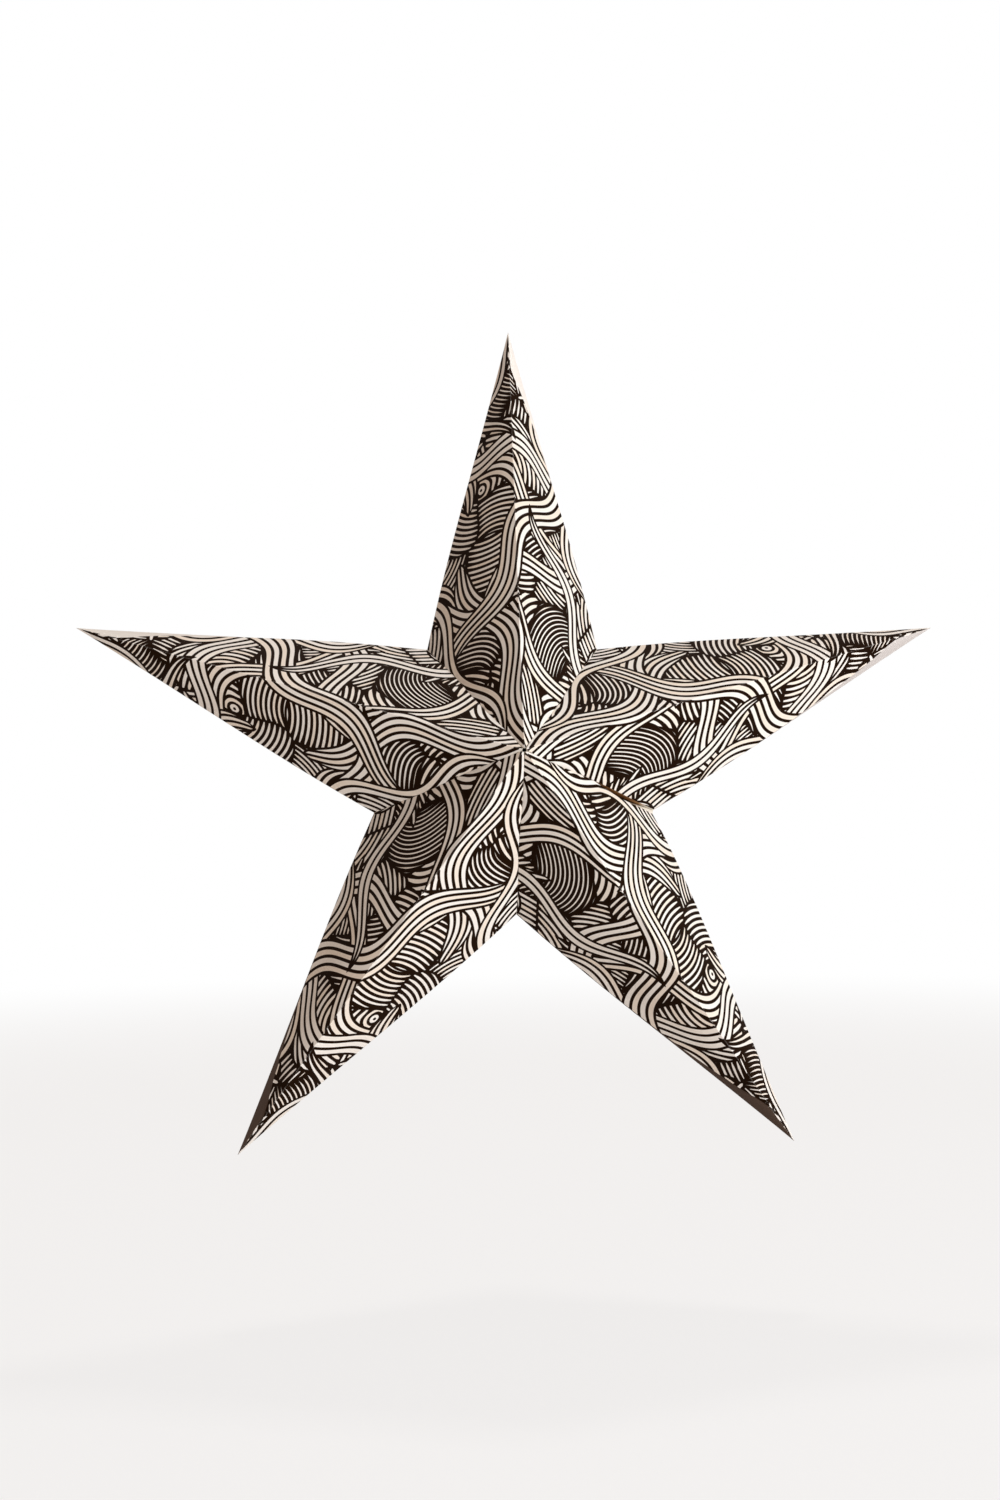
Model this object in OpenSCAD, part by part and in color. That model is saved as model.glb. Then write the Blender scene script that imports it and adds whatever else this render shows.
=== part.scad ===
// Hollow five-pointed star of folded, printed paper, upright with its front to -Y.
// The origin is the star's centre, +X is to the right and +Z up. Sizes in millimetres.
// Each point is one sheet, folded round its own hollow and glued to its two neighbours.

/* [Star] */
// Width between the left and the right tips
star_width = 600; // [450:5:750]
// Depth between the front and the back centre
star_depth = 190; // [150:1:230]
// Distance from the middle axis to each inner corner
corner_radius = 101.5; // [88:0.5:112]
// How far each seam between two points bows outward
seam_bow = 2; // [0:0.1:4]
// How far each side fold bows outward near its inner corner
side_bow = 1.5; // [0:0.1:3]
// How far the middle of each panel bulges outward
panel_bow = 1.5; // [0:0.1:3]
// Radius of the small opening where the five sheets meet
apex_hole_r = 1.2; // [1:0.1:3]

/* [Paper] */
// Thickness of the paper
sheet_t = 0.3; // [0.2:0.05:0.4]
// Width of the glue flaps along the seams
flap_w = 15; // [8:0.5:18]
// Width left of a glue flap at its cut ends
flap_end_w = 1; // [0.9:0.1:1.4]
// Rise of a glue flap's cut end for each millimetre along the seam
flap_mitre = 0.7; // [0.5:0.05:0.8]

/* [Lap] */
// Width of the plain tab under each lapped panel
tab_w = 12; // [6:0.5:14]
// Width of the plain strip left showing beside the side fold
lap_margin = 1; // [0.8:0.1:3]
// Distance from the tip at which the lapped panel runs out
panel_end = 26; // [18:1:32]
// Length over which the trimmed edge falls back to the plain strip's width
trim_fade = 45; // [30:1:60]
// How far the lapped edge stands out from the straight panel
lap_lift = 1; // [0:0.1:1.5]
// Length over which a cut edge of the lap slopes down
cut_slope = 0.2; // [0.1:0.05:0.3]

/* [Closing seam] */
// Widest gap in the front of the seam that closes the star
gap_w = 2.4; // [0:0.1:4]
// Share of that seam, from the middle, at which the gap starts
gap_start = 0.55; // [0.3:0.05:0.8]
// Share of the widest gap that is left at the inner corner
gap_end_share = 0.4; // [0:0.1:1]

/* [Hidden] */

paper_colour = "#f1e8d9";
points = 5;
turn = 360 / points;
half_turn = turn / 2;
tip_r = star_width / (2 * cos(90 - turn));
plain_steps = 6;
lap_steps = 5;
ring_steps = 5;
gap_reach = 8;
front = -1;
back = 1;
clockwise = 1;
other_way = -1;
closing_before = 1;
closing_after = 2;

// Share of the seam at which the sheets start, at the small opening
seam_first = (apex_hole_r + sheet_t) / corner_radius;
// Depth of the point in which the seams would meet without that opening
half_depth = (star_depth / 2 - seam_bow * sin(180 * seam_first)) / (1 - seam_first);

// One panel's corners, its outward direction and the lengths that follow from them
tip_corner = [0, 0, tip_r];
apex_corner = [0, -half_depth, 0];
inner_corner = [corner_radius * sin(half_turn), 0, corner_radius * cos(half_turn)];
panel_cross = cross(apex_corner - tip_corner, inner_corner - tip_corner);
panel_out = panel_cross / norm(panel_cross) * sign(panel_cross[0]);
seam_len = norm(inner_corner - apex_corner);
side_len = norm(inner_corner - tip_corner);
panel_span = norm(panel_cross) / side_len;
// Moves of the tip, middle and inner corner that move a panel inward by one millimetre
tip_move = 1 / panel_out[2];
apex_move = -1 / panel_out[1];
corner_move = 1 / (panel_out[0] * sin(half_turn) + panel_out[2] * cos(half_turn));

// A glue flap's cut end is never narrower than this many layers of paper
flap_end_layers = 3;
flap_end = max(flap_end_w, flap_end_layers * sheet_t);
panel_end_at = panel_end / side_len;

// Rings from the tip to the seams, as shares of the way; those by the tip, and the first
// one after them, in shares of the distance at which the lapped panel runs out
tip_rings = [0.5, 1, 1.6];
after_tip = 2.6 * panel_end_at;
rings = concat(
    [for (n = tip_rings) n * panel_end_at],
    [for (j = [0:ring_steps]) after_tip + (1 - after_tip) * j / ring_steps]
);

// Width of the plain strip at a ring, growing to the whole panel near the tip
function strip_w(f) =
    f <= panel_end_at ? f * panel_span :
    lap_margin + (panel_end_at * panel_span - lap_margin) * exp((panel_end - f * side_len) / trim_fade);

// Share of the panel's width, from its ridge, at a distance w from the side fold
function share_at(w, f) = 1 - w / (f * panel_span);

// Lift of the lap half-way over the tab, and the narrowest lap in cut slopes
mid_lift = 0.6;
lap_slopes = 3;

// Columns of a panel as [share of the seam, layers down outside, layers down inside, lift]
plain_panel = [for (i = [0:plain_steps])
    [seam_first + (1 - seam_first) * i / plain_steps, 0, 1, 0]];

function lapped_panel(f) =
    let (
        slope = cut_slope / (f * panel_span),
        tab_at = max(seam_first + slope, share_at(tab_w, f)),
        edge_at = max(tab_at + lap_slopes * slope, share_at(strip_w(f), f))
    )
    concat(
        [for (i = [0:lap_steps]) [seam_first + (tab_at - seam_first) * i / lap_steps, 0, 1, 0]],
        [
            [tab_at + slope, 0, 2, 0],
            [(tab_at + edge_at + slope) / 2, 0, 2, mid_lift],
            [edge_at, 0, 2, 1],
            [edge_at + slope, 1, 2, 1],
            [1, 0, 1, 0]
        ]
    );

// All columns of a ring as [side, face, share of the seam, layers outside, layers inside, lift]
function placed(side, face, cols, from, to, step) =
    [for (i = [from:step:to]) concat([side, face], cols[i])];

function ring_cols(f) =
    let (lapped = lapped_panel(f), last = len(lapped) - 1)
    concat(
        [[0, front, seam_first, 0, 1, 0]],
        placed(clockwise, front, lapped, 0, last, 1),
        placed(clockwise, back, plain_panel, plain_steps - 1, 0, -1),
        [[0, back, seam_first, 0, 1, 0]],
        placed(other_way, back, plain_panel, 0, plain_steps, 1),
        placed(other_way, front, plain_panel, plain_steps - 1, 0, -1)
    );

// Direction from a seam's plane into the point that lies on the given side of it
function into_point(side) =
    side == 0 ? [0, 0, 1 / sin(half_turn)] : [-side * cos(half_turn), 0, sin(half_turn)];

function seam_place(side, radius, depth) =
    [side * radius * sin(half_turn), depth, radius * (side == 0 ? 1 : cos(half_turn))];

// Half the gap of the closing seam at a share w of its length
function half_gap(w, f) =
    let (x = (w - gap_start) / (1 - gap_start))
    x <= 0 ? 0 : gap_w / 2 * max(sin(180 * x), x * gap_end_share) * pow(f, gap_reach);

function opens(k, side, face) =
    face == front && ((k == closing_before && side == clockwise)
        || (k == closing_after && side == other_way));

// Place of a column on a ring, with the surface moved inward by a depth d
function sheet_place(k, col, f, d) =
    let (
        side = col[0],
        face = col[1],
        w = col[2],
        tip = [0, 0, tip_r - d * tip_move],
        depth = (half_depth - d * apex_move) * (1 - w) + seam_bow * sin(180 * w),
        base = seam_place(side, (corner_radius - d * corner_move) * w, face * depth),
        bulge = side == 0 ? 0 : (panel_bow * sin(180 * w) + lap_lift * col[5]) * sin(180 * f),
        bow = side_bow * w * w * sin(180 * f * f),
        gap = opens(k, side, face) ? half_gap(w, f) : 0
    )
    tip + f * (base - tip)
        + bulge * [side * panel_out[0], -face * panel_out[1], panel_out[2]]
        + [side * bow, 0, 0]
        + gap * into_point(side);

// The two faces of the paper; layers fade out towards the tip, where the sheet closes
function layers_down(layers, f) = layers * sheet_t * min(1, f / panel_end_at);

function outer_place(k, col, f) = sheet_place(k, col, f, layers_down(col[3], f));

function inner_place(k, col, f) =
    let (
        d = sheet_t + layers_down(col[4] - 1, f),
        reach = 1 - sheet_t / ((tip_r - d * tip_move) * sin(half_turn))
    )
    sheet_place(k, col, f * reach, d);

// Free edge of the glue flap that lies in the seam's plane
function flap_place(side, face, w) =
    let (
        from_end = min(w, 1 - w) * seam_len,
        width = max(flap_end, min(flap_w, flap_mitre * (from_end - flap_end_w))),
        depth = half_depth * (1 - w) + seam_bow * sin(180 * w)
    )
    w == 1 ? seam_place(side, corner_radius - flap_end * seam_len / half_depth, 0) :
    side == 0 ? seam_place(0, corner_radius * w, face * (half_depth - flap_end * seam_len / corner_radius)) :
    seam_place(
        side,
        corner_radius * w - width * half_depth / seam_len,
        face * (depth - width * corner_radius / seam_len)
    );

base_cols = ring_cols(1);
col_count = len(base_cols);
row_count = len(rings) + 1;
skin_count = 1 + col_count * row_count;

function skin(k, outer) = concat(
    [[0, 0, tip_r - (outer ? 0 : sheet_t * tip_move)]],
    [for (f = rings, col = ring_cols(f)) outer ? outer_place(k, col, f) : inner_place(k, col, f)],
    [for (col = base_cols) flap_place(col[0], col[1], col[2]) + (outer ? 0 : sheet_t) * into_point(col[0])]
);

// Corner numbers of the two skins and the faces between them
function at(skin_no, row, c) = skin_no * skin_count + 1 + row * col_count + c % col_count;

function skin_faces(s) =
    let (
        fans = [for (c = [0:col_count - 1]) [s * skin_count, at(s, 0, c + 1), at(s, 0, c)]],
        upper = [for (r = [0:row_count - 2], c = [0:col_count - 1])
            [at(s, r, c), at(s, r, c + 1), at(s, r + 1, c + 1)]],
        lower = [for (r = [0:row_count - 2], c = [0:col_count - 1])
            [at(s, r, c), at(s, r + 1, c + 1), at(s, r + 1, c)]]
    )
    [for (t = concat(fans, upper, lower)) s == 0 ? t : [t[0], t[2], t[1]]];

edge_row = row_count - 1;
rim_faces = [for (c = [0:col_count - 1], t = [
    [at(0, edge_row, c), at(0, edge_row, c + 1), at(1, edge_row, c + 1)],
    [at(0, edge_row, c), at(1, edge_row, c + 1), at(1, edge_row, c)]
]) t];

// One point: a sheet folded at two ridges and two sides, with its lap and its four glue flaps
module folded_sheet(k) {
    color(paper_colour)
        rotate([0, turn * k, 0])
            polyhedron(
                points = concat(skin(k, true), skin(k, false)),
                faces = concat(skin_faces(0), skin_faces(1), rim_faces),
                convexity = 10
            );
}

module point_top() {
    folded_sheet(0);
}

module point_right() {
    folded_sheet(closing_before);
}

module point_lower_right() {
    folded_sheet(closing_after);
}

module point_lower_left() {
    folded_sheet(3);
}

module point_left() {
    folded_sheet(4);
}

point_top();
point_right();
point_lower_right();
point_lower_left();
point_left();
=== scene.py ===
# Folded paper star, hung upright above a pale floor, front to -Y, metres
from math import cos, exp, pi, radians, sin
import bmesh
import bpy
from mathutils import Matrix, Vector, noise


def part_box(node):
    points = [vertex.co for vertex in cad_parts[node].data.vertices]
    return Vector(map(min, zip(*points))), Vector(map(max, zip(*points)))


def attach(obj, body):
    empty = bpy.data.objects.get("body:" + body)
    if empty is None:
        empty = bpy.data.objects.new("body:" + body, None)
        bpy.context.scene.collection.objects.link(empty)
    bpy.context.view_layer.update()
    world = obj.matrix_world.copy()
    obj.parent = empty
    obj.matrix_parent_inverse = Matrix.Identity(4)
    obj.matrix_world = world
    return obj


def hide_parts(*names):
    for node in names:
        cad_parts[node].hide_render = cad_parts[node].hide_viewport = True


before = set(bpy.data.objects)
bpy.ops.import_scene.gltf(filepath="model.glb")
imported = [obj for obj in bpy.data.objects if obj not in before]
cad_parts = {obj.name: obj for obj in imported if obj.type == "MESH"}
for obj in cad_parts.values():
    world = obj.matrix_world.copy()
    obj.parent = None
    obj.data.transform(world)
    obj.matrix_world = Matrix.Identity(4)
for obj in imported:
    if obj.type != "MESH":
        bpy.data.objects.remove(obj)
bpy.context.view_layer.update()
millimetre = 0.001
tiny = 1e-6  # keeps a division safe, and is the distance at which places are one place


# Star

starForm = {
    "pointNames": ["point_top", "point_right", "point_lower_right", "point_lower_left", "point_left"],
    "openingRadius": 0.0015,  # small opening where the five sheets meet
    "ridgeCut": 0.0055,  # share by which a ridge stops short of the middle, at the opening
    "seamBow": 0.002,
    "sideBow": 0.0015,
    "panelBow": 0.0015,
    "gapWidths": (0.0022, 0.0007),  # closing seam, front only: lower sheet, upper sheet
    "cornerGaps": (0.003, 0.0002),
    "cornerStart": 0.5,  # share of the gap at which the corner starts to stand out
    "cornerEase": 0.3,  # how far the gap closes again towards the corner
    "cornerBack": 0.8,  # share of the back seam at which the corner's gap starts
    "gapStart": 0.5,
    "gluedSpan": (0.45, 0.9),  # stretch of the closing seam whose flaps in the gap carry painted warm shade, standing in for the dark gap with light glowing through the paper
    "gapSeam": 1,  # the seam after the second point
    "seamReach": 8,  # how fast what happens at a seam fades up the point
}

sheetForm = {
    "thickness": 0.0003,
    "flapWidth": 0.015,
    "flapEndWidth": 0.001,
    "flapMitre": 0.7,
    "tabWidth": 0.012,
    "lapMargin": 0.001,  # plain strip beside the clockwise side fold
    "panelEnd": 0.026,
    "trimFade": 0.045,
    "lapLift": 0.001,
    "foldReach": 0.0005,  # half the width of paper that a fold takes
    "airGap": 0.00002,  # between layers that are glued
    "liftCurve": 1.2,
    "tipBlend": 8,  # how fast the inner layers part from the outer one at the tip
    "tabBlend": 12,
    "buckle": 0.0007,
    "buckleSize": 0.055,
    "smallBuckle": 0.4,  # share of the buckle's height that its small waves have
    "smallBuckleSize": 0.37,
    "foldCalm": 2.2,  # how fast the buckle grows away from a fold
    "seamCalm": 1.03,  # the buckle ends just short of the seam
    "calmCurve": 0.7,
    "buckleSeeds": (11.3, 5.1, 3.7),  # give each panel its own waves
    "pucker": 0.00018,  # ripples that the glue leaves beside a seam
    "puckerWaves": 46,
    "puckerReach": 0.035,  # share of the point's length that the ripples take
    "seamWander": 0.0007,
    "wanderWaves": 7.4,
    "wanderStep": 2.3,  # from one seam's wave to the next
    "foldZone": 0.02,  # distance over which the fold map runs from 0 to 1
    "panelColumns": 20,
    "tabColumns": 6,
    "rows": 64,
    "rowCrowding": 1.15,
    "flapRows": 3,
    "flapStart": 0.033,  # share of the flap that its first narrow rows take
    "leastShare": 0.004,  # below this share of the point's length the columns stay as they are
    "leastLap": 0.03,
    "widestFold": 0.06,
    "foldRoom": 8,  # a fold takes this part of a narrow panel at most
    "rowStart": 0.02,
    "leastRow": 0.002,
    "flapRoot": 0.1,  # share of its width that a flap keeps at the middle opening
}

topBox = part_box("point_top")
pointCount = len(starForm["pointNames"])
halfTurn = pi / pointCount
tipRadius = topBox[1][2]
halfDepth = topBox[1][1]
cornerRadius = topBox[1][0] / sin(halfTurn)
firstShare = starForm["openingRadius"] / cornerRadius
seamHeight = halfDepth / (1 - starForm["ridgeCut"])
tipCorner = Vector((0, 0, tipRadius))
apexCorner = Vector((0, -seamHeight, 0))
sideCorner = Vector((cornerRadius * sin(halfTurn), 0, cornerRadius * cos(halfTurn)))
panelCross = (apexCorner - tipCorner).cross(sideCorner - tipCorner)
panelOut = panelCross.normalized() * (1 if panelCross.x > 0 else -1)
seamLength = (sideCorner - apexCorner).length
sideLength = (sideCorner - tipCorner).length
panelSpan = panelCross.length / sideLength  # width of a panel square to its side fold
ridgeLine = apexCorner - tipCorner
panelAngle = ridgeLine.angle(sideCorner - tipCorner)
tipMove = 1 / panelOut.z
apexMove = -1 / panelOut.y
cornerMove = 1 / (panelOut.x * sin(halfTurn) + panelOut.z * cos(halfTurn))


def stripWidth(f):
    # Plain strip left beside the side fold, wider and wider towards the tip
    if f * sideLength <= sheetForm["panelEnd"]:
        return f * panelSpan
    atEnd = sheetForm["panelEnd"] / sideLength * panelSpan
    fall = exp((sheetForm["panelEnd"] - f * sideLength) / sheetForm["trimFade"])
    return sheetForm["lapMargin"] + (atEnd - sheetForm["lapMargin"]) * fall


def lapShares(f):
    # Where the tab ends and the lapped panel is cut, as shares of the panel from its ridge
    f = max(f, sheetForm["leastShare"])
    reach = f * panelSpan
    tabEnd = max(sheetForm["leastLap"], 1 - sheetForm["tabWidth"] / reach)
    cutEdge = max(tabEnd + sheetForm["leastLap"], 1 - stripWidth(f) / reach)
    return tabEnd, cutEdge


foldSteps = (0, 0.5, 1, 2.4)  # columns beside a fold, in steps of the fold's reach


def sheetColumns(f):
    # One row of the sheet, from the lapped panel's cut edge round to the tab's free edge,
    # as (side, face, share of the panel, is the tab, way round the sheet)
    tabEnd, cutEdge = lapShares(f)
    reach = max(f, sheetForm["leastShare"]) * panelSpan
    near = min(sheetForm["foldReach"] / reach, sheetForm["widestFold"])
    steps = sheetForm["panelColumns"]

    def spread(start, end, startFold, endFold):
        room = (end - start) / sheetForm["foldRoom"]
        startFold, endFold = min(startFold, room), min(endFold, room)
        head = [start + startFold * k for k in foldSteps]
        tail = [end - endFold * k for k in reversed(foldSteps)]
        count = steps + 1 - len(head) - len(tail)
        gap = (tail[0] - head[-1]) / (count + 1)
        return head + [head[-1] + gap * (i + 1) for i in range(count)] + tail

    lapped = spread(0, cutEdge, near, near / 2)
    plain = spread(0, 1, near, near)
    tab = [1 - near * k for k in foldSteps]
    tab += [tab[-1] + (tabEnd - tab[-1]) * (i + 1) / sheetForm["tabColumns"]
            for i in range(sheetForm["tabColumns"])]
    row = [(1, -1, w, False, -w) for w in reversed(lapped)]
    row += [(-1, -1, w, False, w) for w in plain[1:]]
    row += [(-1, 1, w, False, 2 - w) for w in reversed(plain[:-1])]
    row += [(1, 1, w, False, 2 + w) for w in plain[1:]]
    row += [(1, -1, w, True, 4 - w) for w in tab[1:]]
    return row


columnCount = len(sheetColumns(1))
foldColumns = [sheetForm["panelColumns"] * n for n in (1, 2, 3, 4)]


def intoPoint(side, w):
    # From a seam's plane into the point on the given side of it
    if w == 0:
        return Vector((0, 0, 1))
    return Vector((-side * cos(halfTurn), 0, sin(halfTurn)))


def seamPlace(side, radius, depth):
    return Vector((side * radius * sin(halfTurn), depth, radius * cos(halfTurn)))


def openMiddle(place, w):
    # Draws the ends of the ridges back from the middle, which leaves the small opening
    return place + (tipCorner - place) * starForm["ridgeCut"] * max(0, 1 - w / firstShare)


def seamShift(pointNumber, side, face, w, f):
    # Where the sheets part at the closing seam, and where a seam wanders off its plane
    seamNumber = pointNumber if side > 0 else (pointNumber - 1) % pointCount
    shift = 0
    along = min(1, max(0, (w - starForm["gapStart"]) / (1 - starForm["gapStart"])))
    if seamNumber == starForm["gapSeam"]:
        upper = side > 0
        atCorner = max(0, (along - starForm["cornerStart"]) / (1 - starForm["cornerStart"])) ** 2
        shift = starForm["cornerGaps"][upper] * atCorner
        if face < 0:
            ease = 1 - starForm["cornerEase"] * atCorner
            shift += starForm["gapWidths"][upper] * sin(pi * along) * ease
        else:
            shift *= max(0, (w - starForm["cornerBack"]) / (1 - starForm["cornerBack"])) ** 2
    swing = sin(sheetForm["wanderWaves"] * w + sheetForm["wanderStep"] * seamNumber + face)
    wander = sin(pi * w) * swing * sheetForm["seamWander"]
    return (shift - side * wander) * f ** starForm["seamReach"]


def sheetPlace(pointNumber, column, f, depthDown):
    # A place on the sheet, depthDown under the printed face of the straight panel
    side, face, w, isTab, way = column
    height = (seamHeight - depthDown * apexMove) * (1 - w) + starForm["seamBow"] * sin(pi * w)
    radius = (cornerRadius - depthDown * cornerMove) * w
    base = openMiddle(seamPlace(side, radius, face * height), w)
    tip = Vector((0, 0, tipRadius - depthDown * tipMove * min(1, f * sheetForm["tipBlend"])))
    out = Vector((side * panelOut.x, -face * panelOut.y, panelOut.z))
    bulge = starForm["panelBow"] * sin(pi * w)
    if side > 0 and face < 0:
        tabEnd, cutEdge = lapShares(f)
        if w <= cutEdge:
            lift = max(0, (w - tabEnd) / (cutEdge - tabEnd))
        else:
            lift = (1 - w) / max(1 - cutEdge, tiny)
        bulge += sheetForm["lapLift"] * lift ** sheetForm["liftCurve"]
    place = tip + (base - tip) * f + out * bulge * sin(pi * f)
    place.x += side * starForm["sideBow"] * w * w * sin(pi * f * f)
    seedX, seedY, seedZ = sheetForm["buckleSeeds"]
    seed = Vector((seedX * pointNumber, seedY * face, seedZ * side))
    smallSize = sheetForm["smallBuckleSize"] * sheetForm["buckleSize"]
    wave = noise.noise(place / sheetForm["buckleSize"] + seed)
    wave += sheetForm["smallBuckle"] * noise.noise(place / smallSize - seed)
    calm = sin(pi * min(f * sheetForm["seamCalm"], 1)) ** sheetForm["calmCurve"]
    calm *= min(1, sheetForm["foldCalm"] * sin(pi * w))
    place += out * wave * sheetForm["buckle"] * calm
    fromSeam = (1 - f) / sheetForm["puckerReach"]
    ripple = sin(sheetForm["puckerWaves"] * w + 3 * pointNumber + 2 * face)  # another start on each panel
    ripple *= exp(-fromSeam) * fromSeam
    place += out * ripple * sheetForm["pucker"] * sin(pi * w)
    return place + intoPoint(side, w) * seamShift(pointNumber, side, face, w, f)


def flapPlace(pointNumber, column, share):
    # A place on the glue flap, share of the way from the seam to the flap's cut edge
    side, face, w, isTab, way = column
    endWidth = sheetForm["flapEndWidth"]
    fromEnd = min(w, 1 - w) * seamLength
    width = max(endWidth, min(sheetForm["flapWidth"], sheetForm["flapMitre"] * (fromEnd - endWidth)))
    width *= share * max(sheetForm["flapRoot"], min(1, w / firstShare))
    if w == 1:
        place = seamPlace(side, cornerRadius - width * seamLength / seamHeight, 0)
    elif w == 0:
        place = seamPlace(side, 0, face * (seamHeight - width))
    else:
        height = seamHeight * (1 - w) + starForm["seamBow"] * sin(pi * w)
        radius = cornerRadius * w - width * seamHeight / seamLength
        place = seamPlace(side, radius, face * (height - width * cornerRadius / seamLength))
    shift = seamShift(pointNumber, side, face, w, 1) * (1 - share)
    layer = sheetForm["airGap"] + (sheetForm["thickness"] if isTab else 0)
    return openMiddle(place, w) + intoPoint(side, w) * (shift + layer)


def roundFold(before, fold, after):
    # Three places that turn the corner at a fold on a small arc
    def arc(t):
        return before * (1 - t) ** 2 + fold * 2 * t * (1 - t) + after * t ** 2
    return arc(0.25), arc(0.5), arc(0.75)


def rowShares():
    # Rows from the tip to the seam, closer together at both ends
    near = sheetForm["foldReach"] / sideLength
    count = sheetForm["rows"]
    body = [((i + sheetForm["rowStart"]) / count) ** sheetForm["rowCrowding"] for i in range(count)]
    tail = [1 - near * k for k in reversed(foldSteps)]
    return [0] + [f * tail[0] for f in body if f > sheetForm["leastRow"]] + tail


def buildSheetPlaces(pointNumber):
    # Every place on the folded sheet, row by row
    shares = rowShares()
    rows = []
    for f in shares:
        row = []
        tabEnd, cutEdge = lapShares(f)
        under = (sheetForm["thickness"] + sheetForm["airGap"]) * min(1, f * sheetForm["tabBlend"])
        for column in sheetColumns(f):
            down = 0
            if column[3]:
                down = under * min(1, (1 - column[2]) / max(1 - cutEdge, tiny))
            row.append(sheetPlace(pointNumber, column, f, down))
        for k in foldColumns:
            arc = roundFold(row[k - 2], row[k], row[k + 2])
            row[k - 1], row[k], row[k + 1] = arc
        rows.append(row)
    baseColumns = sheetColumns(1)
    flapShares = [sheetForm["flapStart"] * k for k in foldSteps[1:]]
    flapShares += [flapShares[-1] + (1 - flapShares[-1]) * (i + 1) / sheetForm["flapRows"]
                   for i in range(sheetForm["flapRows"])]
    for share in flapShares:
        rows.append([flapPlace(pointNumber, column, share) for column in baseColumns])
    seamRow = len(shares) - 1
    for k in range(columnCount):
        arc = roundFold(rows[seamRow - 2][k], rows[seamRow][k], rows[seamRow + 2][k])
        rows[seamRow - 1][k], rows[seamRow][k], rows[seamRow + 1][k] = arc
    return rows, shares


flatScale = 2  # one unit of the flat map is half a metre
flatStart = Vector((0.05, 0.3))


def flatPlace(column, f):
    # The same place on the sheet before folding, polar about the tip, front ridge along X
    w, way = column[2], column[4]
    seamLine = apexCorner + (sideCorner - apexCorner) * w - tipCorner
    reach = seamLine.length * f
    within = ridgeLine.angle(seamLine) if w > 0 else 0
    if way < 0:
        angle = -within
    elif way < 1:
        angle = within
    elif way < 2:
        angle = 2 * panelAngle - within
    elif not column[3]:
        angle = 2 * panelAngle + within
    else:
        angle = 4 * panelAngle - within
    return flatStart + Vector((reach * cos(angle), reach * sin(angle))) * flatScale


# Slots of a sheet after the printed one; undersides and rims take the slot two further on
tabSlot, flapSlot, gapShadeSlot = 1, 2, 5
undersideStep = 2


def layGrid(places):
    # A flat grid whose corners are moved to the places, and the row and column of each corner
    rowCount = len(places)
    mesh = bmesh.new()
    bmesh.ops.create_grid(mesh, x_segments=columnCount - 1, y_segments=rowCount - 1, size=0.5)
    grid = {}
    for vert in mesh.verts:
        c = round((vert.co.x + 0.5) * (columnCount - 1))
        r = round((vert.co.y + 0.5) * (rowCount - 1))
        grid[vert.index] = (r, c)
        vert.co = places[r][c]
    return mesh, grid


def markFaces(pointNumber, mesh, grid, shares):
    # Slots and both maps: the flat sheet, and the distances to a fold and to the seam
    flatMap = mesh.loops.layers.uv.new("sheetFlat")
    foldMap = mesh.loops.layers.uv.new("foldDistance")
    lastRow = len(shares) - 1
    columnsAt = [sheetColumns(f) for f in shares]
    zone = sheetForm["foldZone"]
    low, high = starForm["gluedSpan"]
    for face in mesh.faces:
        rowsHere = [grid[loop.vert.index][0] for loop in face.loops]
        colsHere = [grid[loop.vert.index][1] for loop in face.loops]
        if min(rowsHere) > lastRow:
            side, front, w = columnsAt[lastRow][max(colsHere)][:3]
            seamNumber = pointNumber if side > 0 else (pointNumber - 1) % pointCount
            # flaps inside the closing seam's gap take the painted warm shade
            inGap = seamNumber == starForm["gapSeam"] and front < 0 and low < w < high
            face.material_index = gapShadeSlot if inGap else flapSlot
        elif min(colsHere) >= foldColumns[3]:
            face.material_index = tabSlot
        face.smooth = True
        for loop in face.loops:
            r, c = grid[loop.vert.index]
            column = columnsAt[min(r, lastRow)][c]
            f = shares[r] if r <= lastRow else 1 + sheetForm["foldReach"] / 2 / sideLength
            loop[flatMap].uv = flatPlace(column, f)
            toFold = min(column[2], 1 - column[2]) * f * panelSpan
            toSeam = (1 - f) * sideLength
            loop[foldMap].uv = (min(toFold / zone, 1), min(toSeam / zone, 1))


def buildSheet(pointNumber, name, materials):
    places, shares = buildSheetPlaces(pointNumber)
    mesh, grid = layGrid(places)
    markFaces(pointNumber, mesh, grid, shares)
    bmesh.ops.remove_doubles(mesh, verts=[v for v in mesh.verts if grid[v.index][0] == 0], dist=tiny)
    turn = Matrix.Rotation(2 * halfTurn * pointNumber, 3, "Y")  # clockwise from the front
    bmesh.ops.rotate(mesh, verts=mesh.verts, cent=(0, 0, 0), matrix=turn)
    mesh.normal_update()
    frontFace = max(mesh.faces, key=lambda face: -face.calc_center_median().y)
    if frontFace.normal.y > 0:
        bmesh.ops.reverse_faces(mesh, faces=mesh.faces)
    data = bpy.data.meshes.new(name + "_sheet")
    mesh.to_mesh(data)
    mesh.free()
    piece = bpy.data.objects.new(name + "_sheet", data)
    bpy.context.collection.objects.link(piece)
    for material in materials:
        data.materials.append(material)
    wall = piece.modifiers.new("paper", "SOLIDIFY")
    wall.thickness = sheetForm["thickness"]
    wall.offset = -1
    wall.material_offset = undersideStep
    wall.material_offset_rim = undersideStep
    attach(piece, "root")
    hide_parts(name)


# Shader parts

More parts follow.
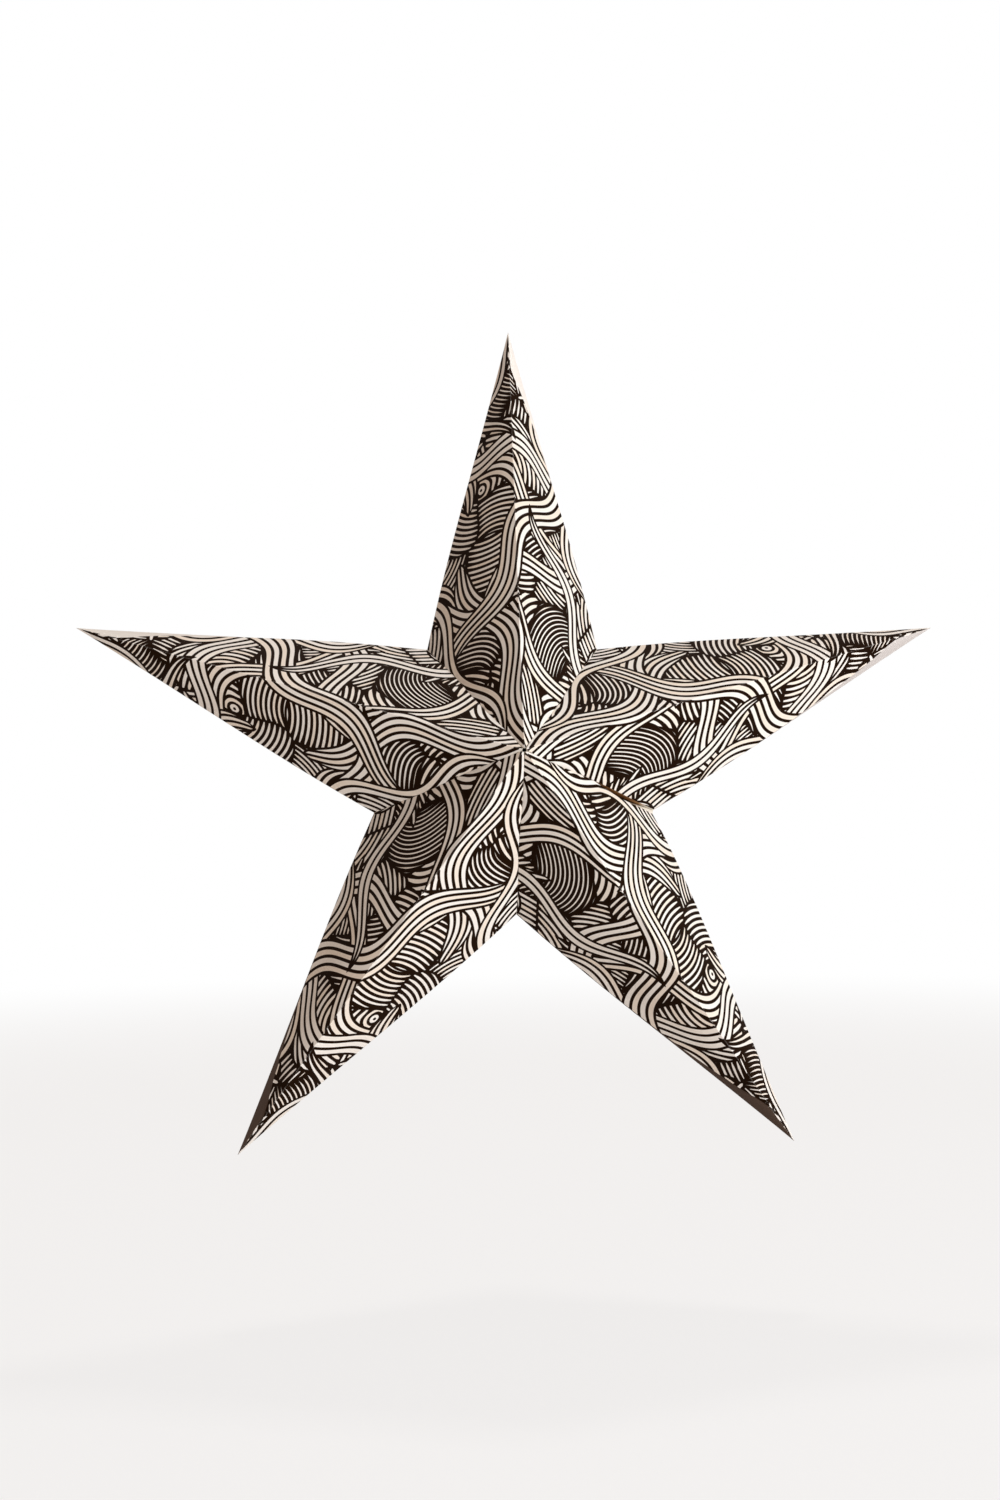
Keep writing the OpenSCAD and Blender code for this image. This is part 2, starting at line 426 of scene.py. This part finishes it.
class NodeDesk:
    # Puts nodes in a tree and joins them, so that a formula reads as one
    def __init__(self, tree):
        self.tree = tree

    def node(self, kind, inputs=None, **settings):
        made = self.tree.nodes.new(kind)
        for key, value in settings.items():
            setattr(made, key, value)
        for key, value in (inputs or {}).items():
            self.feed(made.inputs[key], value)
        return made

    def feed(self, socket, value):
        if hasattr(value, "is_linked"):
            self.tree.links.new(value, socket)
        else:
            socket.default_value = value

    def math(self, operation, *values, clamp=False):
        made = self.node("ShaderNodeMath", operation=operation, use_clamp=clamp)
        for socket, value in zip(made.inputs, values):
            self.feed(socket, value)
        return made.outputs[0]

    def vector(self, operation, *values):
        made = self.node("ShaderNodeVectorMath", operation=operation)
        for socket, value in zip(made.inputs, values):
            self.feed(socket, value)
        return made.outputs[0]

    def step(self, value, low, high, start=0.0, end=1.0):
        made = self.node("ShaderNodeMapRange", {"Value": value, "From Min": low, "From Max": high,
                                                "To Min": start, "To Max": end},
                         interpolation_type="SMOOTHSTEP")
        return made.outputs["Result"]

    def scale(self, value, factor):
        return self.node("ShaderNodeVectorMath", {0: value, "Scale": factor}, operation="SCALE").outputs[0]

    def mix(self, share, first, second):
        made = self.node("ShaderNodeMix", {0: share, 2: first, 3: second}, data_type="FLOAT")
        return made.outputs[0]

    def mixColour(self, share, first, second):
        made = self.node("ShaderNodeMix", {0: share, 6: first, 7: second}, data_type="RGBA")
        return made.outputs[2]


def newGroup(name, numbers, outputs):
    # Every group takes a place, then numbers, and puts out numbers
    tree = bpy.data.node_groups.new(name, "ShaderNodeTree")
    tree.interface.new_socket(name="Place", in_out="INPUT", socket_type="NodeSocketVector")
    for label in numbers:
        tree.interface.new_socket(name=label, in_out="INPUT", socket_type="NodeSocketFloat")
    for label in outputs:
        tree.interface.new_socket(name=label, in_out="OUTPUT", socket_type="NodeSocketFloat")
    desk = NodeDesk(tree)
    return desk, desk.node("NodeGroupInput").outputs, desk.node("NodeGroupOutput").inputs


printForm = {
    "lineHalf": 1.12,  # half a line's width, in millimetres as all lengths of the print
    "borderWidth": 2.1,
    "soft": 0.14,  # soft edge of a line
    "start": (188, -709, 0),  # the part of the endless print that a sheet carries
    "toneSpread": 91.7,  # gives the stripes of each band and patch tones of their own
    "ink": (0.0125, 0.0048, 0.0015, 1),
    "white": (0.905, 0.862, 0.8, 1),
    "cream": (0.885, 0.78, 0.66, 1),
    "plain": (0.9, 0.84, 0.73, 1),
    # the next two colours are painted shade for the bare tab strips: half shade and deep shade where the
    # tabs face away from the window light
    "tabHalfShadePainted": (0.62, 0.58, 0.55, 1),
    "tabDeepShadePainted": (0.075, 0.045, 0.03, 1),
    # painted warm shade for the flaps in the closing seam's gap: the dark gap with light glowing through
    # the paper
    "glued": (0.42, 0.23, 0.09, 1),
}

patchForm = {
    "size": 44.0,
    "pitch": 4.3,
    "pitchLeast": 0.75,  # in shares of the pitch, as is the spread
    "pitchSpread": 0.55,
    "drift": 0.9,
    "start": (213, 147, 0),
    "swell": 1.5,  # lines widen towards a patch's rim, over this reach
    "swellReach": 6.0,
    "warpScale": 0.8,
    "warp": 0.7,  # how far the patches' rims bend, in patch sizes as the next four
    "centreAway": 0.82,  # from a patch's middle to the centre of its arcs
    "centreSpread": 0.7,
    "calmReach": (0.12, 0.5),  # rings near the arcs' centre are plain
    "wave": 0.05,
    "waves": 4.2,  # radians of the wave in a radian of the arc
    "waveStart": 9.0,
    "scatter": 0.8,
    "steepest": 1.3,  # a steeper line is drawn as if it had this slope
}

bandForm = {
    "fields": 6,
    "angles": (0.9, -1.1, 0.3, 1.35, -0.62, 0.5),  # radians from the front ridge
    "firstShift": (31, 52),
    "shiftStep": (71, 43),
    "halfLengths": (96, 112, 104, 128, 118, 146),
    "stripes": (3, 3, 4, 3, 4, 2),
    "pitch": (5.2, 6.3),
    "pitchStart": 0.11,  # spreads the pitches and gaps of the fields evenly
    "pitchStep": 0.5698,
    "lengthGap": 24,  # between one band's end and the next band's start
    "rowGap": 34,
    "rowGapLeast": 0.4,
    "rowStagger": 0.43,
    "bend": 18,
    "wave": 9,
    "waveReach": 16,  # length that a radian of the wave takes
    "endPower": 6.0,  # the higher, the blunter a band's ends
    "endRound": 0.7,
    "endNarrow": 0.4,  # how far its lines draw together there
    "seedStart": 0.4,
    "seedStep": 1.7,
}


def fieldSettings(n):
    # Each field is a lattice of bands that lie one way; later fields cover earlier ones
    form = bandForm
    other = (form["pitchStart"] + n * form["pitchStep"]) % 1
    low, high = form["pitch"]
    pitch = low + (high - low) * other
    halfLength = form["halfLengths"][n]
    halfWidth = form["stripes"][n] * pitch / 2 + printForm["lineHalf"]
    rowGap = form["rowGap"] * (form["rowGapLeast"] + other)
    return {
        "Shift X": form["shiftStep"][0] * n + form["firstShift"][0],
        "Shift Y": form["shiftStep"][1] * n + form["firstShift"][1],
        "Angle": form["angles"][n],
        "Half length": halfLength,
        "Half width": halfWidth,
        "Length step": 2 * halfLength + form["lengthGap"] * (1 + other),
        "Row step": 2 * (halfWidth + form["bend"] + form["wave"]) + rowGap,
        "Lines": form["stripes"][n],
        "Seed": form["seedStep"] * n + form["seedStart"],
    }


def drawLine(desk, distance, width):
    # 1 on a line of the given half width, with a soft edge
    soft = printForm["soft"]
    if hasattr(width, "is_linked"):
        low, high = desk.math("SUBTRACT", width, soft), desk.math("ADD", width, soft)
    else:
        low, high = width - soft, width + soft
    return desk.step(distance, low, high, 1.0, 0.0)


def shorten(desk, slope):
    # A leaning line's real distance as a share of the distance measured straight across
    return desk.math("INVERSE_SQRT", desk.math("MULTIPLY_ADD", slope, slope, 1.0))


def stripeTone(desk, chance, lineCoord):
    # A random tone for each stripe between two lines
    stripe = desk.math("MULTIPLY_ADD", chance, printForm["toneSpread"], desk.math("FLOOR", lineCoord))
    return desk.node("ShaderNodeTexWhiteNoise", {"W": stripe}, noise_dimensions="1D").outputs["Value"]


def makeBandGroup():
    # A lattice of long wavy bands of lines, laid over what is under it
    form = bandForm
    desk, given, out = newGroup("lineBands", [
        "Shift X", "Shift Y", "Angle", "Half length", "Half width", "Length step", "Row step",
        "Lines", "Seed", "Ink below", "Tone below"], ["Ink", "Tone"])
    shift = desk.node("ShaderNodeCombineXYZ", {0: given["Shift X"], 1: given["Shift Y"]}).outputs[0]
    shifted = desk.vector("ADD", given["Place"], shift)
    turned = desk.node("ShaderNodeVectorRotate", {"Vector": shifted, "Angle": given["Angle"]},
                       rotation_type="Z_AXIS")
    parts = desk.node("ShaderNodeSeparateXYZ", {0: turned.outputs[0]}).outputs
    row = desk.math("FLOOR", desk.math("DIVIDE", parts[1], given["Row step"]))
    stagger = desk.math("MULTIPLY", row, form["rowStagger"])
    slid = desk.math("ADD", desk.math("DIVIDE", parts[0], given["Length step"]), stagger)
    column = desk.math("FLOOR", slid)
    fromMiddle = desk.math("SUBTRACT", desk.math("SUBTRACT", slid, column), 0.5)
    along = desk.math("MULTIPLY", fromMiddle, given["Length step"])
    rowMiddle = desk.math("MULTIPLY", desk.math("ADD", row, 0.5), given["Row step"])
    sideways = desk.math("SUBTRACT", parts[1], rowMiddle)
    cell = desk.node("ShaderNodeCombineXYZ", {0: column, 1: row, 2: given["Seed"]}).outputs[0]
    dice = desk.node("ShaderNodeTexWhiteNoise", {"Vector": cell}, noise_dimensions="3D").outputs["Color"]
    chance = desk.node("ShaderNodeSeparateXYZ", {0: dice}).outputs
    share = desk.math("DIVIDE", along, given["Half length"])
    waveStart = desk.math("MULTIPLY", chance[0], 2 * pi)
    swing = desk.math("MULTIPLY_ADD", along, 1 / form["waveReach"], waveStart)
    bend = desk.math("MULTIPLY", desk.math("SUBTRACT", chance[1], 0.5), 2 * form["bend"])
    bent = desk.math("MULTIPLY", share, bend)
    waved = desk.math("MULTIPLY", desk.math("SINE", swing), form["wave"])
    across = desk.math("SUBTRACT", sideways, desk.math("MULTIPLY_ADD", bent, share, waved))
    rise = desk.math("MULTIPLY", desk.math("COSINE", swing), form["wave"] / form["waveReach"])
    slope = desk.math("MULTIPLY_ADD", desk.math("DIVIDE", bent, given["Half length"]), 2.0, rise)
    close = shorten(desk, slope)
    ending = desk.math("POWER", desk.math("ABSOLUTE", share), form["endPower"])
    taper = desk.math("SUBTRACT", 1.0, ending, clamp=True)
    half = desk.math("MULTIPLY", desk.math("POWER", taper, form["endRound"]), given["Half width"])
    edge = desk.math("MULTIPLY", desk.math("SUBTRACT", half, desk.math("ABSOLUTE", across)), close)
    inside = desk.step(edge, 0.0, 2 * printForm["soft"])
    narrowing = desk.math("MULTIPLY_ADD", taper, form["endNarrow"], 1 - form["endNarrow"])
    lineRoom = desk.math("SUBTRACT", given["Half width"], printForm["lineHalf"])
    narrow = desk.math("MULTIPLY", narrowing, lineRoom)
    pitch = desk.math("DIVIDE", desk.math("MULTIPLY", narrow, 2.0), given["Lines"])
    lineCoord = desk.math("MULTIPLY_ADD", given["Lines"], 0.5, desk.math("DIVIDE", across, pitch))
    realPitch = desk.math("MULTIPLY", pitch, close)
    toLine = desk.math("MULTIPLY", desk.math("PINGPONG", lineCoord, 0.5), realPitch)
    border = drawLine(desk, edge, printForm["borderWidth"])
    ink = desk.math("MAXIMUM", drawLine(desk, toLine, printForm["lineHalf"]), border)
    tone = stripeTone(desk, chance[2], lineCoord)
    desk.feed(out["Ink"], desk.mix(inside, given["Ink below"], ink))
    desk.feed(out["Tone"], desk.mix(inside, given["Tone below"], tone))
    return desk.tree


def makePatchGroup():
    # A patchwork of cells, each filled with nested arcs about a centre of its own
    form = patchForm
    desk, given, out = newGroup("linePatches", ["Patch size", "Pitch", "Drift"], ["Ink", "Tone"])
    sizes = desk.node("ShaderNodeCombineXYZ", {0: given["Patch size"], 1: given["Patch size"], 2: 1.0})
    small = desk.vector("DIVIDE", given["Place"], sizes.outputs[0])
    drift = desk.node("ShaderNodeTexNoise", {"Vector": small, "Scale": form["warpScale"], "Detail": 0.0},
                      noise_dimensions="2D").outputs["Color"]
    pull = desk.scale(desk.vector("SUBTRACT", drift, (0.5, 0.5, 0.5)), form["warp"])
    warped = desk.vector("ADD", small, pull)
    cells = {"Vector": warped, "Scale": 1.0, "Randomness": form["scatter"]}
    cell = desk.node("ShaderNodeTexVoronoi", cells, voronoi_dimensions="2D", feature="F1").outputs
    rim = desk.node("ShaderNodeTexVoronoi", cells, voronoi_dimensions="2D",
                    feature="DISTANCE_TO_EDGE").outputs["Distance"]
    chance = desk.node("ShaderNodeSeparateXYZ", {0: cell["Color"]}).outputs
    away = desk.vector("SUBTRACT", small, cell["Position"])
    turned = desk.node("ShaderNodeVectorRotate", {
        "Vector": away, "Angle": desk.math("MULTIPLY", chance[0], 2 * pi)}, rotation_type="Z_AXIS")
    parts = desk.node("ShaderNodeSeparateXYZ", {0: turned.outputs[0]}).outputs
    centre = desk.math("MULTIPLY_ADD", chance[1], form["centreSpread"], form["centreAway"])
    raised = desk.math("ADD", parts[1], centre)
    sideSquare = desk.math("MULTIPLY", parts[0], parts[0])
    reach = desk.math("SQRT", desk.math("MULTIPLY_ADD", raised, raised, sideSquare))
    turn = desk.math("ARCTAN2", parts[0], raised)
    slide = desk.math("MULTIPLY", desk.math("SUBTRACT", chance[2], 0.5), given["Drift"])
    waveStart = desk.math("MULTIPLY", chance[2], form["waveStart"])
    swing = desk.math("MULTIPLY_ADD", turn, form["waves"], waveStart)
    calm = desk.step(reach, *form["calmReach"])
    waved = desk.math("MULTIPLY", desk.math("SINE", swing), form["wave"])
    wander = desk.math("MULTIPLY_ADD", turn, slide, waved)
    line = desk.math("MULTIPLY_ADD", wander, calm, reach)
    rise = desk.math("MULTIPLY_ADD", desk.math("COSINE", swing), form["waves"] * form["wave"], slide)
    lean = desk.math("ABSOLUTE", desk.math("MULTIPLY", rise, calm))
    slope = desk.math("MINIMUM", desk.math("DIVIDE", lean, reach), form["steepest"])
    pitchShare = desk.math("MULTIPLY_ADD", chance[2], form["pitchSpread"], form["pitchLeast"])
    pitch = desk.math("MULTIPLY", given["Pitch"], pitchShare)
    lineCoord = desk.math("DIVIDE", desk.math("MULTIPLY", line, given["Patch size"]), pitch)
    realPitch = desk.math("MULTIPLY", pitch, shorten(desk, slope))
    toLine = desk.math("MULTIPLY", desk.math("PINGPONG", lineCoord, 0.5), realPitch)
    toRim = desk.math("MULTIPLY", rim, given["Patch size"])
    lineHalf = printForm["lineHalf"]
    width = desk.step(toRim, 0.0, form["swellReach"], lineHalf * form["swell"], lineHalf)
    border = drawLine(desk, toRim, printForm["borderWidth"] / 2)
    desk.feed(out["Ink"], desk.math("MAXIMUM", drawLine(desk, toLine, width), border))
    desk.feed(out["Tone"], stripeTone(desk, chance[0], lineCoord))
    return desk.tree


paperForm = {
    "fibreSize": 0.0006,
    "fibreRoughness": 0.6,
    "cloudScale": 38.0,  # cloudiness of the sheet, in waves a metre
    "cloudRoughness": 0.55,
    "detail": 3.0,
    "bumpHeight": 0.0001,
    "printedBump": 0.35,
    "plainBump": 0.4,
    "creamTones": (0.45, 0.95),  # stripes of these tones turn from white to cream
    "creamMost": 0.85,
    "cloudShare": 0.5,
    "rubReach": (0.012, 0.04),  # distance from a fold over which rubbing fades, in fold zones
    "rubGrain": (0.42, 0.62),
    "rubLoss": 0.12,
    "paperRoughness": 0.78,
    "inkRoughness": 0.63,
    "printedSpecular": 0.02,
    "plainRoughness": 0.85,
    "plainSpecular": 0.3,
    "plainCloud": 0.35,
    "plainDark": 0.82,  # colour of the darkest clouds, as a share of the plain paper's
}


def makeFibreGroup():
    # Paper grain: height for the bump and a faint cloudiness for the colour
    desk, given, out = newGroup("paperFibre", ["Fibre size"], ["Height", "Cloud"])
    size = desk.math("DIVIDE", 1.0, given["Fibre size"])
    for label, scale, roughness in (("Height", size, paperForm["fibreRoughness"]),
                                    ("Cloud", paperForm["cloudScale"], paperForm["cloudRoughness"])):
        grain = desk.node("ShaderNodeTexNoise", {
            "Vector": given["Place"], "Scale": scale, "Detail": paperForm["detail"],
            "Roughness": roughness})
        desk.feed(out[label], grain.outputs["Fac"])
    return desk.tree


def startMaterial(name):
    material = bpy.data.materials.new(name)
    material.use_nodes = True
    desk = NodeDesk(material.node_tree)
    shader = material.node_tree.nodes["Principled BSDF"]
    return material, desk, shader


def placeGroup(desk, group, settings):
    made = desk.node("ShaderNodeGroup", node_tree=group)
    for key, value in settings.items():
        desk.feed(made.inputs[key], value)
    return made.outputs


def addFibre(desk, shader, fibreGroup, strength):
    place = desk.node("ShaderNodeTexCoord").outputs["Object"]
    fibre = placeGroup(desk, fibreGroup, {"Place": place, "Fibre size": paperForm["fibreSize"]})
    bump = desk.node("ShaderNodeBump", {
        "Height": fibre["Height"], "Strength": strength, "Distance": paperForm["bumpHeight"]})
    desk.feed(shader.inputs["Normal"], bump.outputs[0])
    return fibre


def makePrintedPaper(patchGroup, bandGroup, fibreGroup):
    form = paperForm
    material, desk, shader = startMaterial("printedPaper")
    flat = desk.node("ShaderNodeUVMap", uv_map="sheetFlat").outputs[0]
    fromTip = desk.vector("SUBTRACT", flat, (flatStart.x, flatStart.y, 0))
    place = desk.vector("ADD", desk.scale(fromTip, 1 / (flatScale * millimetre)), printForm["start"])
    drawn = placeGroup(desk, patchGroup, {
        "Place": desk.vector("ADD", place, patchForm["start"]), "Patch size": patchForm["size"],
        "Pitch": patchForm["pitch"], "Drift": patchForm["drift"]})
    for n in range(bandForm["fields"]):
        below = {"Place": place, "Ink below": drawn["Ink"], "Tone below": drawn["Tone"]}
        drawn = placeGroup(desk, bandGroup, {**fieldSettings(n), **below})
    fibre = addFibre(desk, shader, fibreGroup, form["printedBump"])
    stripes = desk.math("MULTIPLY", desk.step(drawn["Tone"], *form["creamTones"]), form["creamMost"])
    cloud = desk.math("SUBTRACT", fibre["Cloud"], 0.5)
    shade = desk.math("MULTIPLY_ADD", cloud, form["cloudShare"], stripes, clamp=True)
    paper = desk.mixColour(shade, printForm["white"], printForm["cream"])
    folds = desk.node("ShaderNodeUVMap", uv_map="foldDistance").outputs[0]
    toFold = desk.node("ShaderNodeSeparateXYZ", {0: folds}).outputs[0]
    nearFold = desk.step(toFold, *form["rubReach"], 1.0, 0.0)
    rubbed = desk.math("MULTIPLY", nearFold, desk.step(fibre["Height"], *form["rubGrain"]))
    inkLeft = desk.math("MULTIPLY", drawn["Ink"], desk.math("MULTIPLY_ADD", rubbed, -form["rubLoss"], 1.0))
    roughness = desk.mix(inkLeft, form["paperRoughness"], form["inkRoughness"])
    desk.feed(shader.inputs["Base Color"], desk.mixColour(inkLeft, paper, printForm["ink"]))
    desk.feed(shader.inputs["Roughness"], roughness)
    shader.inputs["Specular IOR Level"].default_value = form["printedSpecular"]
    return material


def makePlainPaper(name, colour, fibreGroup):
    form = paperForm
    material, desk, shader = startMaterial(name)
    fibre = addFibre(desk, shader, fibreGroup, form["plainBump"])
    share = desk.math("MULTIPLY", fibre["Cloud"], form["plainCloud"])
    darker = tuple(form["plainDark"] * value for value in colour[:3]) + (1,)
    desk.feed(shader.inputs["Base Color"], desk.mixColour(share, colour, darker))
    shader.inputs["Roughness"].default_value = form["plainRoughness"]
    shader.inputs["Specular IOR Level"].default_value = form["plainSpecular"]
    return material


fibreGroup = makeFibreGroup()
printedPaper = makePrintedPaper(makePatchGroup(), makeBandGroup(), fibreGroup)
plainPaper = makePlainPaper("plainPaper", printForm["plain"], fibreGroup)
# painted warm shade for the flaps inside the closing seam's gap
gapShadePaper = makePlainPaper("gluedPaper", printForm["glued"], fibreGroup)
print("materials made")

# Tab strips beside the side folds: bare paper on the upper points, painted half shade on the right point
# and painted deep shade on the two lower points, whose tabs face away from the window light
tabPaintedLightColours = {
    "point_top": printForm["white"],
    "point_right": printForm["tabHalfShadePainted"],
    "point_lower_right": printForm["tabDeepShadePainted"],
    "point_lower_left": printForm["tabDeepShadePainted"],
    "point_left": printForm["white"],
}
for pointNumber, name in enumerate(starForm["pointNames"]):
    # each point's tab material carries its colour from the table above, which is painted shade on the
    # right and lower points
    tabPaintedLightPaper = makePlainPaper(name + "_tab_painted_light", tabPaintedLightColours[name], fibreGroup)
    papers = [printedPaper, tabPaintedLightPaper, plainPaper, plainPaper, plainPaper, gapShadePaper]
    buildSheet(pointNumber, name, papers)
    print("sheet folded:", name)


# Camera, from the star's eleven corners in the photograph

viewForm = {
    "azimuth": -3.13,  # degrees to the left of the star's axis
    "elevation": -6.81,
    "roll": -0.73,
    "distance": 0.8,
    "target": (-0.0097, 0, 0.0113),
    "pixelsAcross": 1157,  # focal length in pixels of the 1500-pixel height
    "frameHeight": 1500,
    "sensorHeight": 24,  # millimetres
    "clipStart": 0.01,
}


def placeCamera():
    data = bpy.data.cameras.new("photoView")
    camera = bpy.data.objects.new("photoView", data)
    bpy.context.collection.objects.link(camera)
    bpy.context.scene.camera = camera
    az, el = radians(viewForm["azimuth"]), radians(viewForm["elevation"])
    away = Vector((sin(az) * cos(el), -cos(az) * cos(el), sin(el)))
    camera.location = Vector(viewForm["target"]) + away * viewForm["distance"]
    look = (-away).to_track_quat("-Z", "Y")
    camera.rotation_euler = look.to_euler()
    camera.rotation_euler.rotate_axis("Z", radians(viewForm["roll"]))
    data.sensor_fit = "VERTICAL"
    data.sensor_height = viewForm["sensorHeight"]
    data.lens = data.sensor_height * viewForm["pixelsAcross"] / viewForm["frameHeight"]
    data.clip_start = viewForm["clipStart"]


# Floor, lamps and white ground

plainWhite = (1, 1, 1, 1)

stageForm = {
    "floorHeight": -0.36,
    "floorSize": 14,
    "floorColour": (0.88, 0.86, 0.85, 1),
    "floorRoughness": 0.9,
    "floorGlow": 0.74,  # how far the floor under the star is plain white to the camera
    "floorFade": (0.9, 3.2),  # where the floor turns fully white, in metres from the star
    "fill": (0.412, 0.338, 0.292, 1),  # dim warm room light from all round
}

lamps = {
    "windowLight": {"place": (1.44, -1.92, 0.02), "size": 0.22, "power": 41.2, "colour": (0.91, 0.95, 1)},
    "ceilingLight": {"place": (0.1, 0.5, 2.9), "size": 0.3, "power": 16, "colour": (1, 0.98, 0.95)},
}


def addLamp(name, place, size, power, colour):
    data = bpy.data.lights.new(name, "AREA")
    data.shape = "SQUARE"
    data.size = size
    data.energy = power
    data.color = colour
    lamp = bpy.data.objects.new(name, data)
    bpy.context.collection.objects.link(lamp)
    lamp.location = place
    lamp.rotation_euler = (Vector((0, 0, 0)) - Vector(place)).to_track_quat("-Z", "Y").to_euler()


def whiteToCamera(desk):
    # 1 for rays that show the background: the camera's own, and those off gloss or through glass
    rays = desk.node("ShaderNodeLightPath").outputs
    seen = desk.math("MAXIMUM", rays["Is Camera Ray"], rays["Is Glossy Ray"])
    return desk.math("MAXIMUM", seen, rays["Is Transmission Ray"])


def buildFloor():
    mesh = bmesh.new()
    bmesh.ops.create_grid(mesh, x_segments=4, y_segments=4, size=stageForm["floorSize"] / 2)
    bmesh.ops.translate(mesh, verts=mesh.verts, vec=(0, 0, stageForm["floorHeight"]))
    data = bpy.data.meshes.new("floor")
    mesh.to_mesh(data)
    mesh.free()
    floor = bpy.data.objects.new("floor", data)
    bpy.context.collection.objects.link(floor)
    material, desk, shader = startMaterial("paleFloor")
    shader.inputs["Base Color"].default_value = stageForm["floorColour"]
    shader.inputs["Roughness"].default_value = stageForm["floorRoughness"]
    place = desk.node("ShaderNodeTexCoord").outputs["Object"]
    far = desk.node("ShaderNodeVectorMath", {0: place}, operation="LENGTH").outputs["Value"]
    glow = desk.step(far, *stageForm["floorFade"], stageForm["floorGlow"], 1.0)
    white = desk.node("ShaderNodeEmission", {"Color": plainWhite, "Strength": 1.0})
    share = desk.math("MULTIPLY", whiteToCamera(desk), glow)
    both = desk.node("ShaderNodeMixShader", {0: share, 1: shader.outputs[0], 2: white.outputs[0]})
    desk.feed(material.node_tree.nodes["Material Output"].inputs["Surface"], both.outputs[0])
    data.materials.append(material)


def setWorld():
    world = bpy.data.worlds.new("whiteGround")
    bpy.context.scene.world = world
    world.use_nodes = True
    desk = NodeDesk(world.node_tree)
    background = world.node_tree.nodes["Background"]
    background.inputs["Strength"].default_value = 1.0
    desk.feed(background.inputs["Color"],
              desk.mixColour(whiteToCamera(desk), stageForm["fill"], plainWhite))


placeCamera()
for lampName, lamp in lamps.items():
    addLamp(lampName, **lamp)
buildFloor()
setWorld()
bpy.context.scene.view_settings.view_transform = "Standard"
print("stage set")
